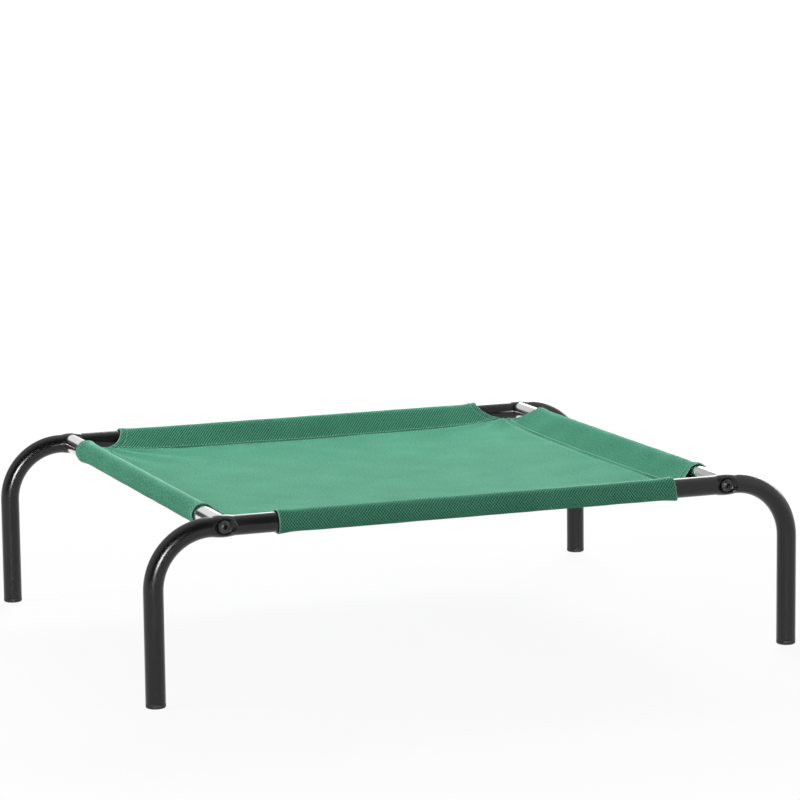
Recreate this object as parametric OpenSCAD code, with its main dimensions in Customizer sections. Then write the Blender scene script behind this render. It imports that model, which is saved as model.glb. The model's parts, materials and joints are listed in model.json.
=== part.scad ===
// Raised pet cot: four bent tubes, two cross bars and one sewn fabric bed. Millimetres.
// X runs right along the long side, Y runs to the rear, Z runs up.
// The origin lies on the floor under the middle of the bed.

/* [Frame tubes] */
// Outside diameter of the leg tubes and of the cross bars
tube_d = 22; // [20:0.5:24]
// Wall thickness of the bent leg tubes
tube_wall = 1.2; // [1:0.1:1.6]
// Distance between the left and right leg axes
leg_span = 754; // [640:2:1000]
// Distance between the front and rear rail axes
rail_span = 590; // [480:2:800]
// Height of the rail axis above the floor
rail_height = 191; // [150:1:240]
// Radius of the bend between leg and rail, to the tube axis
bend_r = 65; // [55:1:75]

/* [Slip joints] */
// Length of the narrowed end that slides into the other half of the rail
spigot_len = 50; // [30:1:80]
// Length of the shoulder behind the narrowed end
shoulder_len = 2.4; // [2:0.1:5]
// Gap between the narrowed end and the bore around it
spigot_gap = 0.15; // [0.1:0.05:0.3]

/* [Corner fixings] */
// Distance of the cross bar axis from the end of the bend
bar_past_bend = 14; // [14:1:30]
// Height of the swelling pressed into the rail round each bolt
swell_h = 1.2; // [0.8:0.1:1.8]
// Half length of that swelling along the rail
swell_half = 12; // [10:0.5:12]
// Depth of the flat floor of the pressed dish below the swelling
dish_depth = 5.8; // [4.6:0.1:6.2]
// Radius of the flat floor of the dish
dish_floor_r = 7.6; // [7.2:0.1:8.2]
// Radius of the rim of the dish
dish_rim_r = 15.2; // [12:0.1:15.2]

/* [Bolts and nuts] */
// Diameter of the bolt shank
bolt_d = 8; // [6:0.5:8]
// Length of the bolt under its head
bolt_len = 40; // [34:1:50]
// Diameter of the button head
head_d = 14; // [11:0.1:15]
// Height of the button head
head_h = 4.4; // [3.2:0.1:4.8]
// Height of the upright rim of the head
head_rim_h = 1.1; // [0.6:0.1:1.4]
// Width across flats of the hexagon socket
socket_w = 5; // [4:0.1:5.5]
// Depth of the hexagon socket
socket_depth = 2.8; // [2:0.1:3]
// Length of the chamfer at the tip of the bolt
bolt_tip = 1; // [0.5:0.1:1.5]
// Gap round the shank in each hole it passes through
bolt_gap = 0.2; // [0.15:0.05:0.4]
// Length of the threaded insert in each end of a cross bar
insert_len = 20; // [14:1:24]
// Distance from the rail to the face of the insert
insert_setback = 0.8; // [0.5:0.1:2]
// Chamfer round the face of the insert
insert_edge = 0.8; // [0.4:0.1:1.2]
// Gap between the insert and the bore of the cross bar
insert_gap = 0.05; // [0.05:0.01:0.1]

/* [Cross bars] */
// Wall thickness of the cross bars
bar_wall = 1; // [0.8:0.1:1.5]
// Gap between the coped end of a cross bar and the rail
cope_gap = 0.2; // [0.15:0.05:0.4]

/* [Feet] */
// Height of the part of the foot that shows below the tube
foot_lip_h = 5; // [4:0.5:10]
// Radius of the rounded lower edge of the foot
foot_edge_r = 2; // [1:0.1:3]
// Length of the plug inside the tube
foot_plug_len = 22; // [18:1:40]
// Gap between the ribs of the plug and the bore
foot_plug_gap = 0.1; // [0.05:0.05:0.3]
// Depth of the ribs round the plug
foot_rib_depth = 1; // [0.5:0.1:1.5]
// Number of ribs on each plug
foot_ribs = 3; // [2:1:3]
// Height of one rib
foot_rib_h = 2.5; // [1.5:0.1:3]
// Wall thickness of the hollow plug
foot_plug_wall = 2.2; // [1.5:0.1:3]

/* [Fabric bed] */
// Thickness of the woven sheet
fabric_t = 1.2; // [0.8:0.1:1.6]
// Gap between the sleeves and the tubes inside them
sleeve_gap = 0.4; // [0.3:0.05:1]
// Distance from a cross bar axis to the mouth of a long sleeve
long_mouth_gap = 62; // [50:1:80]
// Distance from a rail axis to the mouth of a short sleeve
short_mouth_gap = 69; // [55:1:85]
// Distance from a tube axis to the seam that closes its sleeve
seam_in = 33; // [28:1:45]
// Depth of the seams below the tube axes
seam_drop = 8; // [4:0.5:12]
// Width of the sewn strip in which the layers lie together
sewn_w = 4; // [3:0.5:8]
// Sag of the middle of the bed below the seams
sag = 12; // [4:1:25]
// Distance from the crossing of two seams to the cut corner of the sheet, along X and along Y
corner_in = 2; // [1:0.5:6]

/* [Hidden] */
$fn = 64;
tube_r = tube_d / 2;
bore_r = tube_r - tube_wall;
leg_x = leg_span / 2;
rail_y = rail_span / 2;
bend_end_x = leg_x - bend_r;
bar_x = bend_end_x - bar_past_bend;
swell_r = tube_r + swell_h;
swell_curve_r = (swell_half * swell_half + swell_h * swell_h) / (2 * swell_h);
// The turned swelling ends this far past the point where it meets the tube
swell_run = 1.5;
dish_floor = swell_r - dish_depth;
dish_slope = (dish_rim_r - dish_floor_r) / dish_depth;
spigot_r = bore_r - spigot_gap;
bolt_r = bolt_d / 2;
head_r = head_d / 2;
dome_h = head_h - head_rim_h;
dome_r = (head_r * head_r + dome_h * dome_h) / (2 * dome_h);
hole_r = bolt_r + bolt_gap;
socket_corner_r = socket_w / sqrt(3);
insert_start = swell_r + insert_setback;
insert_r = tube_r - bar_wall - insert_gap;
insert_bore_r = bolt_r + bolt_gap / 2;
foot_rib_r = bore_r - foot_plug_gap;
foot_core_r = foot_rib_r - foot_rib_depth;
foot_rib_pitch = (foot_plug_len - foot_rib_h) / foot_ribs;
long_half = bar_x - long_mouth_gap;
short_half = rail_y - short_mouth_gap;
sleeve_in_r = tube_r + sleeve_gap;
sleeve_out_r = sleeve_in_r + fabric_t;
seam_x = bar_x - seam_in;
seam_y = rail_y - seam_in;
seam_z = rail_height - seam_drop;
seam_len = norm([seam_in, seam_drop]);
seam_angle = atan2(-seam_drop, seam_in);
// Half thickness of the sleeve tip outside, and of the slit left inside it
tip_out = fabric_t;
tip_in = 0.15;
// The straight flanks start a little inside the round part, so that they cross it cleanly
flank_in = 0.15;
// Distance from a tube axis in to the line where the upper flank leaves the round part
flank_start = sleeve_out_r * cos(seam_angle + acos((sleeve_out_r - flank_in - tip_out) / seam_len));
// The panel runs this far into the sewn strips
panel_lap = sewn_w / 2;
panel_x = seam_x + panel_lap;
panel_y = seam_y + panel_lap;
panel_cells = 12;
// Small overrun that lets a cut pass through a face
over = 1;

tube_color = [0.05, 0.05, 0.055];
bar_color = [0.80, 0.80, 0.80];
bolt_color = [0.08, 0.08, 0.08];
insert_color = [0.62, 0.62, 0.62];
foot_color = [0.06, 0.06, 0.06];
fabric_color = [0.30, 0.62, 0.49];

// Moves a shape from the front left corner to another corner
module to_right() {
    mirror([1, 0, 0])
        children();
}

module to_rear() {
    mirror([0, 1, 0])
        children();
}

// Puts a shape with its origin on the front left bolt axis, at the rail axis
module at_corner() {
    translate([-bar_x, -rail_y, rail_height])
        children();
}

// Round bar along the front left leg, through the bend and along the rail
module leg_path(r, low_z, end_x) {
    translate([-leg_x, -rail_y, low_z])
        cylinder(h = rail_height - bend_r - low_z, r = r);
    translate([-bend_end_x, -rail_y, rail_height - bend_r])
        rotate([90, 0, 0])
            rotate([0, 0, 90])
                rotate_extrude(angle = 90)
                    translate([bend_r, 0])
                        circle(r = r);
    translate([-bend_end_x, -rail_y, rail_height])
        rotate([0, 90, 0])
            cylinder(h = bend_end_x + end_x, r = r);
}

// Swelling of the rail round the bolt, turned about the rail axis
module swelling(grow) {
    rotate([0, 90, 0])
        rotate_extrude()
            intersection() {
                translate([swell_r + grow - swell_curve_r, 0])
                    circle(r = swell_curve_r);
                translate([0, -swell_half - swell_run])
                    square([swell_r + grow + over, 2 * swell_half + 2 * swell_run]);
            }
}

// Hollow of the pressed dish, open to the outside of the rail
module dish(grow) {
    depth = dish_depth + grow + 2 * over;
    start_r = dish_floor_r + grow;
    rotate([90, 0, 0])
        translate([0, 0, dish_floor - grow])
            cylinder(h = depth, r1 = start_r, r2 = start_r + dish_slope * depth);
}

module leg_bore(end_x) {
    difference() {
        leg_path(bore_r, foot_lip_h - over, end_x);
        at_corner()
            dish(tube_wall);
    }
}

module bolt_hole() {
    at_corner()
        rotate([90, 0, 0])
            cylinder(h = 2 * swell_r + 2 * over, r = hole_r, center = true);
}

module socket_leg_rail() {
    difference() {
        union() {
            leg_path(tube_r, foot_lip_h, 0);
            at_corner()
                swelling(0);
        }
        leg_bore(over);
        at_corner()
            dish(0);
        bolt_hole();
    }
}

module spigot_leg_rail() {
    difference() {
        union() {
            leg_path(tube_r, foot_lip_h, 0);
            at_corner()
                swelling(0);
            translate([-over, -rail_y, rail_height])
                rotate([0, 90, 0])
                    cylinder(h = spigot_len + over, r = spigot_r);
        }
        leg_bore(-shoulder_len);
        translate([-shoulder_len - over, -rail_y, rail_height])
            rotate([0, 90, 0])
                cylinder(h = shoulder_len + spigot_len + 2 * over, r = spigot_r - tube_wall);
        at_corner()
            dish(0);
        bolt_hole();
    }
}

module front_left_leg_rail() {
    color(tube_color)
        socket_leg_rail();
}

module front_right_leg_rail() {
    color(tube_color)
        to_right()
            spigot_leg_rail();
}

module rear_left_leg_rail() {
    color(tube_color)
        to_rear()
            spigot_leg_rail();
}

module rear_right_leg_rail() {
    color(tube_color)
        to_right()
            to_rear()
                socket_leg_rail();
}

// Shape that a rail takes out of the end of a cross bar
module cope_cut() {
    at_corner()
        rotate([0, 90, 0])
            cylinder(h = 2 * tube_d, r = tube_r + cope_gap, center = true);
    at_corner()
        swelling(cope_gap);
}

module cross_bar() {
    difference() {
        translate([-bar_x, 0, rail_height])
            rotate([90, 0, 0])
                cylinder(h = rail_span, r = tube_r, center = true);
        translate([-bar_x, 0, rail_height])
            rotate([90, 0, 0])
                cylinder(h = rail_span + 2 * over, r = tube_r - bar_wall, center = true);
        cope_cut();
        to_rear()
            cope_cut();
    }
}

module left_cross_bar() {
    color(bar_color)
        cross_bar();
}

module right_cross_bar() {
    color(bar_color)
        to_right()
            cross_bar();
}

// Threaded plug fixed in the end of a cross bar
module insert() {
    at_corner()
        rotate([-90, 0, 0])
            translate([0, 0, insert_start])
                difference() {
                    union() {
                        translate([0, 0, insert_edge])
                            cylinder(h = insert_len - insert_edge, r = insert_r);
                        cylinder(h = insert_edge, r1 = insert_r - insert_edge, r2 = insert_r);
                    }
                    translate([0, 0, -over])
                        cylinder(h = insert_len + 2 * over, r = insert_bore_r);
                }
}

module front_left_insert() {
    color(insert_color)
        insert();
}

module front_right_insert() {
    color(insert_color)
        to_right()
            insert();
}

module rear_left_insert() {
    color(insert_color)
        to_rear()
            insert();
}

module rear_right_insert() {
    color(insert_color)
        to_right()
            to_rear()
                insert();
}

// Domed head of a bolt, standing on its flat underside
module button_head() {
    rotate_extrude()
        intersection() {
            translate([0, head_h - dome_r])
                circle(r = dome_r);
            square([head_r, head_h + over]);
        }
}

// Button-head bolt, its head seated on the floor of the dish
module bolt() {
    at_corner()
        rotate([90, 0, 0])
            translate([0, 0, dish_floor])
                difference() {
                    union() {
                        button_head();
                        translate([0, 0, bolt_tip - bolt_len])
                            cylinder(h = bolt_len - bolt_tip + head_rim_h / 2, r = bolt_r);
                        translate([0, 0, -bolt_len])
                            cylinder(h = bolt_tip, r1 = bolt_r - bolt_tip, r2 = bolt_r);
                    }
                    translate([0, 0, head_h - socket_depth])
                        cylinder(h = socket_depth + over, r = socket_corner_r, $fn = 6);
                }
}

module front_left_bolt() {
    color(bolt_color)
        bolt();
}

module front_right_bolt() {
    color(bolt_color)
        to_right()
            bolt();
}

module rear_left_bolt() {
    color(bolt_color)
        to_rear()
            bolt();
}

module rear_right_bolt() {
    color(bolt_color)
        to_right()
            to_rear()
                bolt();
}

// Moulded foot: a lip as wide as the tube and a ribbed hollow plug inside it
module foot() {
    translate([-leg_x, -rail_y, 0])
        difference() {
            union() {
                rotate_extrude() {
                    translate([tube_r - foot_edge_r, foot_edge_r])
                        circle(r = foot_edge_r);
                    square([tube_r - foot_edge_r, foot_lip_h]);
                    translate([0, foot_edge_r])
                        square([tube_r, foot_lip_h - foot_edge_r]);
                }
                cylinder(h = foot_lip_h + foot_plug_len, r = foot_core_r);
                for (i = [1 : foot_ribs])
                    translate([0, 0, foot_lip_h + i * foot_rib_pitch])
                        cylinder(h = foot_rib_h, r = foot_rib_r);
            }
            translate([0, 0, foot_lip_h])
                cylinder(h = foot_plug_len + over, r = foot_core_r - foot_plug_wall);
        }
}

module front_left_foot() {
    color(foot_color)
        foot();
}

module front_right_foot() {
    color(foot_color)
        to_right()
            foot();
}

module rear_left_foot() {
    color(foot_color)
        to_rear()
            foot();
}

module rear_right_foot() {
    color(foot_color)
        to_right()
            to_rear()
                foot();
}

// Drop-shaped section of a sleeve: round over the tube, flat flanks down to the seam
module sleeve_section(r, tip_len, tip_half) {
    spread = acos((r - flank_in - tip_half) / tip_len);
    tip = tip_len * [cos(seam_angle), sin(seam_angle)];
    upper = [cos(seam_angle + spread), sin(seam_angle + spread)];
    lower = [cos(seam_angle - spread), sin(seam_angle - spread)];
    circle(r = r);
    polygon([
        (r - flank_in) * upper,
        (r - flank_in) * lower,
        tip + tip_half * lower,
        tip + tip_half * upper
    ]);
}

module sleeve(half_len) {
    linear_extrude(height = 2 * half_len, center = true)
        difference() {
            sleeve_section(sleeve_out_r, seam_len, tip_out);
            sleeve_section(sleeve_in_r, seam_len - sewn_w, tip_in);
        }
}

module long_sleeve() {
    translate([0, -rail_y, rail_height])
        rotate([90, 0, 90])
            sleeve(seam_x - corner_in / 2);
}

module short_sleeve() {
    translate([-bar_x, 0, rail_height])
        rotate([90, 0, 0])
            sleeve(seam_y - corner_in / 2);
}

// Height of the underside of the panel, level along its edges and deepest in the middle
function panel_z(u, v) = seam_z - fabric_t / 2 - sag * (1 - u * u) * (1 - v * v);
function panel_step(i) = 2 * i / panel_cells - 1;
function panel_index(i, j, top) = top * (panel_cells + 1) * (panel_cells + 1) + j * (panel_cells + 1) + i;

module panel_slab() {
    points = [
        for (top = [0, 1], j = [0 : panel_cells], i = [0 : panel_cells])
            [
                panel_x * panel_step(i),
                panel_y * panel_step(j),
                panel_z(panel_step(i), panel_step(j)) + top * fabric_t
            ]
    ];
    last = panel_cells - 1;
    faces = [
        for (j = [0 : last], i = [0 : last])
            [panel_index(i, j, 1), panel_index(i, j + 1, 1), panel_index(i + 1, j, 1)],
        for (j = [0 : last], i = [0 : last])
            [panel_index(i + 1, j, 1), panel_index(i, j + 1, 1), panel_index(i + 1, j + 1, 1)],
        for (j = [0 : last], i = [0 : last])
            [panel_index(i, j, 0), panel_index(i + 1, j, 0), panel_index(i, j + 1, 0)],
        for (j = [0 : last], i = [0 : last])
            [panel_index(i + 1, j, 0), panel_index(i + 1, j + 1, 0), panel_index(i, j + 1, 0)],
        for (i = [0 : last])
            [
                panel_index(i, 0, 0),
                panel_index(i, 0, 1),
                panel_index(i + 1, 0, 1),
                panel_index(i + 1, 0, 0)
            ],
        for (i = [0 : last])
            [
                panel_index(i + 1, panel_cells, 0),
                panel_index(i + 1, panel_cells, 1),
                panel_index(i, panel_cells, 1),
                panel_index(i, panel_cells, 0)
            ],
        for (j = [0 : last])
            [
                panel_index(0, j + 1, 0),
                panel_index(0, j + 1, 1),
                panel_index(0, j, 1),
                panel_index(0, j, 0)
            ],
        for (j = [0 : last])
            [
                panel_index(panel_cells, j, 0),
                panel_index(panel_cells, j, 1),
                panel_index(panel_cells, j + 1, 1),
                panel_index(panel_cells, j + 1, 0)
            ]
    ];
    polyhedron(points = points, faces = faces);
}

// Corner of the sheet that is cut away: square across each tube, then slanting down both flanks
module corner_cut() {
    far_x = bar_x + sleeve_out_r + over;
    far_y = rail_y + sleeve_out_r + over;
    linear_extrude(height = 2 * rail_height)
        polygon([
            [-far_x, -far_y],
            [-far_x, -short_half],
            [flank_start - bar_x, -short_half],
            [corner_in - seam_x, corner_in - seam_y],
            [-long_half, flank_start - rail_y],
            [-long_half, -far_y]
        ]);
}

module bed_fabric() {
    color(fabric_color)
        difference() {
            union() {
                panel_slab();
                long_sleeve();
                to_rear()
                    long_sleeve();
                short_sleeve();
                to_right()
                    short_sleeve();
            }
            corner_cut();
            to_right()
                corner_cut();
            to_rear()
                corner_cut();
            to_right()
                to_rear()
                    corner_cut();
        }
}

front_left_leg_rail();
front_right_leg_rail();
rear_left_leg_rail();
rear_right_leg_rail();
left_cross_bar();
right_cross_bar();
front_left_insert();
front_right_insert();
rear_left_insert();
rear_right_insert();
front_left_bolt();
front_right_bolt();
rear_left_bolt();
rear_right_bolt();
front_left_foot();
front_right_foot();
rear_left_foot();
rear_right_foot();
bed_fabric();
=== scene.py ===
"""Raised pet cot: camera, studio, materials and the sewn sheet. Metres, in the frame of the solids."""

import json
import math
from collections import namedtuple

import bpy
import numpy as np
from mathutils import Matrix, Vector, noise
from mathutils.bvhtree import BVHTree


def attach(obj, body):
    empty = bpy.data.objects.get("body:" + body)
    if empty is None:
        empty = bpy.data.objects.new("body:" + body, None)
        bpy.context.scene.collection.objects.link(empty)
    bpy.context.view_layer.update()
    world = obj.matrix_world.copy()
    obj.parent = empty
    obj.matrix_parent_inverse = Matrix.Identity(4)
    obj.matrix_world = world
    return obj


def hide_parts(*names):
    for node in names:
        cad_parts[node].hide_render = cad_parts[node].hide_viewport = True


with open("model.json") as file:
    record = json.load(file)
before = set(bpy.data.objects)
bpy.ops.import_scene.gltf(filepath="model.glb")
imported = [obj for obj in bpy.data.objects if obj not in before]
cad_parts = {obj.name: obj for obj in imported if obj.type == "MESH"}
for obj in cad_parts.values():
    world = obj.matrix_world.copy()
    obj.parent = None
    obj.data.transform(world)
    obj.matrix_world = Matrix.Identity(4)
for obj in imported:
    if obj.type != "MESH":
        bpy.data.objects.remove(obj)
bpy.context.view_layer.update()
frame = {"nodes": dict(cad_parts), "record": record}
scene = bpy.context.scene
scene.view_settings.view_transform = "Standard"

X, Y, Z = range(3)

# Sizes shared with the solids
TUBE_R = 0.011
# Axes of the cross bars and of the rails, from the middle of the cot and from the floor
BAR_X, RAIL_Y, RAIL_Z = 0.298, 0.295, 0.191
# Half the length of the long and of the short sleeves where they lie on the tube
LONG_HALF, SHORT_HALF = 0.236, 0.226
# Each seam lies this far in from the axis of its tube and this far below it
SEAM_IN, SEAM_DROP = 0.033, 0.008
SAG = 0.012

# Sizes of the sheet alone
SHEET_T = 0.0009
# From the face of a tube to the middle of the sheet round it
SLEEVE_EASE = 0.0009
SLEEVE_R = TUBE_R + SLEEVE_EASE
# The end of each sleeve is turned this far under the panel, with this much from layer to layer
TURN_UNDER, LAYER_GAP = 0.011, 0.0016
# Legs of the small slanting cut at each corner of the panel
CORNER_LEG = 0.006
# The pull of the two sleeves lifts each corner of the panel by this much, over this distance
CORNER_LIFT, LIFT_REACH = 0.005, 0.030
# The long and the short seams bow down by this much in the middle of their length
BOW_LONG, BOW_SHORT = 0.004, 0.003
# Painted highlight on the ridge of the turned hem, and the hem's stitches, in from the edge
FOLD_IN, HEM_STITCH_IN = 0.0010, 0.0072
# Rows of seam stitches: distance in from the fold between sleeve and panel
SEAM_ROWS = (-0.0022, 0.0055)
STITCH_PITCH = 0.0042
# What changes from panel to sleeve does so within this distance of the seam
SEAM_BLEND = 0.004

SEAM_X = BAR_X - SEAM_IN
SEAM_Y = RAIL_Y - SEAM_IN

# A side of the sheet: sign points outward, and a long side runs along the first axis. axis and seam are
# the distances out to its tube and its seam, reach and half are half the length of its seam and sleeve.
Side = namedtuple("Side", "name sign long axis seam reach half")
LONG_SIDE = (True, RAIL_Y, SEAM_Y, SEAM_X, LONG_HALF)
SHORT_SIDE = (False, BAR_X, SEAM_X, SEAM_Y, SHORT_HALF)
SIDES = (
    Side("front", -1, *LONG_SIDE),
    Side("rear", 1, *LONG_SIDE),
    Side("left", -1, *SHORT_SIDE),
    Side("right", 1, *SHORT_SIDE),
)


def in_plan(side, along, out):
    """Turns a pair that runs along a side and out from it into one that runs along the first two axes."""
    return (along, out) if side.long else (out, along)


def around(middle, reach):
    return middle - reach, middle + reach


def clamp(share):
    return max(0.0, min(1.0, share))


# Camera, fitted to the outlines of the tubes in the photograph

CAMERA_AT = (-1.4269, -3.7490, 0.8888)
# Yaw to the right, pitch down and roll, in degrees
CAMERA_TURNS = (21.111, 8.831, -0.662)
LENS_MM, SENSOR_MM = 155.6, 36.0
CAMERA_END = 200.0


def make_camera():
    yaw, pitch, roll = (math.radians(turn) for turn in CAMERA_TURNS)
    ahead = Vector((
        math.sin(yaw) * math.cos(pitch),
        math.cos(yaw) * math.cos(pitch),
        -math.sin(pitch),
    ))
    level = Vector((math.cos(yaw), -math.sin(yaw), 0.0))
    above = level.cross(ahead)
    right = math.cos(roll) * level + math.sin(roll) * above
    up = -math.sin(roll) * level + math.cos(roll) * above
    data = bpy.data.cameras.new("photo_camera")
    data.sensor_width = SENSOR_MM
    data.lens = LENS_MM
    data.clip_end = CAMERA_END
    camera = bpy.data.objects.new("photo_camera", data)
    scene.collection.objects.link(camera)
    turned = Matrix((right, up, -ahead)).transposed()
    camera.matrix_world = Matrix.Translation(CAMERA_AT) @ turned.to_4x4()
    scene.camera = camera


# Node helpers

# Usual range of the value of a noise texture
NOISE_RANGE = (0.3, 0.7)
BEVEL_SAMPLES = 6


class Tree:
    """Short calls that add nodes to one node tree."""

    def __init__(self, tree):
        self.tree = tree

    def add(self, kind, inputs=None, **settings):
        made = self.tree.nodes.new(kind)
        for key, value in settings.items():
            setattr(made, key, value)
        for key, value in (inputs or {}).items():
            self.feed(made.inputs[key], value)
        return made

    def feed(self, socket, value):
        if isinstance(value, bpy.types.NodeSocket):
            self.tree.links.new(value, socket)
        else:
            socket.default_value = value

    def math(self, operation, first, second=0.0):
        return self.add("ShaderNodeMath", {0: first, 1: second}, operation=operation).outputs[0]

    def gap(self, value, middle):
        """Distance of a value from another, to either side."""
        return self.math("ABSOLUTE", self.math("SUBTRACT", value, middle))

    def blend(self, factor, low, high):
        """Mixes two colours."""
        made = self.add("ShaderNodeMix", {0: factor, 6: low, 7: high}, data_type="RGBA")
        return made.outputs[2]

    def span(self, value, ends, to=(0.0, 1.0)):
        """Carries a value from one range to another and holds it at both ends."""
        inputs = {0: value, 1: ends[0], 2: ends[1], 3: to[0], 4: to[1]}
        return self.add("ShaderNodeMapRange", inputs).outputs[0]

    def vary(self, grain, low, high):
        """Spreads the usual range of a noise between two values."""
        return self.span(grain, NOISE_RANGE, (low, high))

    def noise(self, place, scale, detail=3.0):
        made = self.add("ShaderNodeTexNoise", {"Vector": place, "Scale": scale, "Detail": detail})
        return made.outputs["Fac"]

    def place(self, stretch=(1.0, 1.0, 1.0)):
        source = self.add("ShaderNodeTexCoord").outputs["Object"]
        return self.add("ShaderNodeMapping", {"Vector": source, "Scale": stretch}).outputs[0]

    def split(self, vector):
        return list(self.add("ShaderNodeSeparateXYZ", {0: vector}).outputs)

    def mark(self, name):
        """Value that a piece stores at each of its points."""
        return self.add("ShaderNodeAttribute", attribute_name=name).outputs["Fac"]

    def bump(self, height, strength, distance, soft_edge=0.0):
        inputs = {"Height": height, "Strength": strength, "Distance": distance}
        if soft_edge:
            bevel = self.add("ShaderNodeBevel", {"Radius": soft_edge}, samples=BEVEL_SAMPLES)
            inputs["Normal"] = bevel.outputs[0]
        return self.add("ShaderNodeBump", inputs).outputs[0]


def new_material(name, **constants):
    """A material with one Principled shader whose plain sockets are set directly."""
    made = bpy.data.materials.new(name)
    made.use_nodes = True
    shader = made.node_tree.nodes["Principled BSDF"]
    for key, value in constants.items():
        shader.inputs[key.replace("_", " ")].default_value = value
    return made, Tree(made.node_tree), shader.inputs


def grey(level):
    return (level, level, level, 1.0)


# Materials of the solids

# Edges of a bolt's socket, painted in shade, and of the painted highlight on the rim of its head, as
# distances from the bolt's axis
SOCKET_EDGE, RIM_EDGE = (0.0025, 0.0029), (0.0050, 0.0068)
RIM_HIGHLIGHT = 0.8
# Part of the zinc's noise that shows as dark specks
SPECK_EDGE = (0.73, 0.76)
# Squeezed along the cross bars, a noise gives the fine lines of drawn metal
DRAWN = (1.0, 0.02, 1.0)


def powder_coat():
    """Satin black paint with a faint orange peel."""
    made, tree, shader = new_material("black_powder_coat", IOR=1.45)
    place = tree.place()
    broad = tree.noise(place, scale=14.0)
    peel = tree.noise(place, scale=850.0, detail=2.0)
    tree.feed(shader["Base Color"], tree.blend(broad, grey(0.003), grey(0.007)))
    tree.feed(shader["Roughness"], tree.vary(broad, 0.17, 0.25))
    tree.feed(shader["Normal"], tree.bump(peel, strength=0.035, distance=0.00008, soft_edge=0.0018))
    return made


def bright_zinc():
    """Bright plating with lines along the bar, clouds and a few dark specks."""
    made, tree, shader = new_material("bright_zinc", Metallic=1.0)
    place = tree.place()
    drawn = tree.noise(tree.place(DRAWN), scale=900.0, detail=2.0)
    cloud = tree.noise(place, scale=40.0)
    speck = tree.span(tree.noise(place, scale=240.0, detail=1.0), SPECK_EDGE)
    plating = tree.blend(cloud, grey(0.62), grey(0.72))
    tree.feed(shader["Base Color"], tree.blend(speck, plating, grey(0.2)))
    tree.feed(shader["Roughness"], tree.vary(cloud, 0.08, 0.15))
    tree.feed(shader["Normal"], tree.bump(drawn, strength=0.06, distance=0.00005))
    return made


def dull_zinc():
    made, tree, shader = new_material("dull_zinc", Metallic=1.0)
    cloud = tree.noise(tree.place(), scale=160.0)
    tree.feed(shader["Base Color"], tree.blend(cloud, grey(0.48), grey(0.62)))
    tree.feed(shader["Roughness"], tree.vary(cloud, 0.3, 0.45))
    return made


def from_bolt_axis(tree, place):
    parts = tree.split(place)
    aside = tree.math("SUBTRACT", tree.math("ABSOLUTE", parts[X]), BAR_X)
    above = tree.math("SUBTRACT", parts[Z], RAIL_Z)
    squares = [tree.math("MULTIPLY", value, value) for value in (aside, above)]
    return tree.math("SQRT", tree.math("ADD", *squares))


def black_oxide():
    """Blackened steel with a painted highlight on the rim round the head, and painted shade in its dull
    socket.
    """
    made, tree, shader = new_material("black_oxide")
    place = tree.place()
    cloud = tree.noise(place, scale=420.0)
    grain = tree.noise(place, scale=1600.0)
    from_axis = from_bolt_axis(tree, place)
    socket = tree.span(from_axis, SOCKET_EDGE, (1.0, 0.0))
    rim_highlight = tree.span(from_axis, RIM_EDGE, (0.0, RIM_HIGHLIGHT))
    plain = tree.blend(cloud, grey(0.014), grey(0.035))
    # Painted highlight on the rim of the head, and painted shade in the socket
    head = tree.blend(rim_highlight, plain, grey(0.16))
    tree.feed(shader["Base Color"], tree.blend(socket, head, grey(0.002)))
    tree.feed(shader["Roughness"], tree.math("MAXIMUM", tree.vary(cloud, 0.38, 0.50), socket))
    tree.feed(shader["Normal"], tree.bump(grain, strength=0.15, distance=0.00005, soft_edge=0.0006))
    return made


def foot_plastic():
    made, tree, shader = new_material("foot_plastic")
    place = tree.place()
    cloud = tree.noise(place, scale=60.0)
    grain = tree.noise(place, scale=1400.0, detail=2.0)
    tree.feed(shader["Base Color"], tree.blend(cloud, grey(0.009), grey(0.017)))
    tree.feed(shader["Roughness"], tree.vary(grain, 0.46, 0.6))
    tree.feed(shader["Normal"], tree.bump(grain, strength=0.3, distance=0.0001))
    return made


# Materials of the sheet

FABRIC_SHADE = (0.006, 0.109, 0.059, 1.0)
FABRIC_CREST = (0.214, 0.697, 0.463, 1.0)
# Colour of the painted highlight on sleeve crests and hem folds
FABRIC_HIGHLIGHT = (0.38, 0.80, 0.61, 1.0)
# Colour of the painted shade in stitch holes and in the hem's stitched groove
FABRIC_PAINTED_SHADE = (0.014, 0.075, 0.045, 1.0)
THREAD_SHADE = (0.26, 0.64, 0.47, 1.0)
THREAD_CREST = (0.42, 0.84, 0.66, 1.0)
# Size of one loop of the mesh
LOOP_WIDE, LOOP_DEEP = 0.0034, 0.0040
# Share of the lines that lean one way, on the front sleeve and elsewhere
LEAN = (0.5, 0.72)
# How strongly the loops show on the panel, the left sleeve and the long sleeves
PANEL_DEPTH, LEFT_DEPTH, LONG_DEPTH = 0.25, 0.5, 1.1
# Range of the loops' height that runs from shade to crest, and the tones at its ends
LOOP_RANGE, TONE_RANGE = (-0.8, 0.8), (0.08, 0.92)
# Uneven dye over wide areas and from thread to thread
BROAD_TONE, FINE_TONE = 0.06, 0.15
# Blotches are strong on the left sleeve past this distance out from its seam, and weak elsewhere
BLOTCH_OUT, BLOTCH_SHARE = (0.037, 0.031), (0.16, 0.05)
BLOTCH_RANGE = (0.35, 0.65)
# Stitch holes: edge of a row, part of the beat along it, strength of their painted shade, and depth
HOLE_ROW, HOLE_BEAT = (0.0003, 0.0012), (-0.95, 0.1)
HOLE_SHADE, HOLE_DEPTH = 0.75, 2.5
# Share of the holes that shows on the short seams, from the left one to the right one
SHORT_FADE, SHORT_SHARE = (-0.1, 0.1), (0.0, 0.15)
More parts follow.
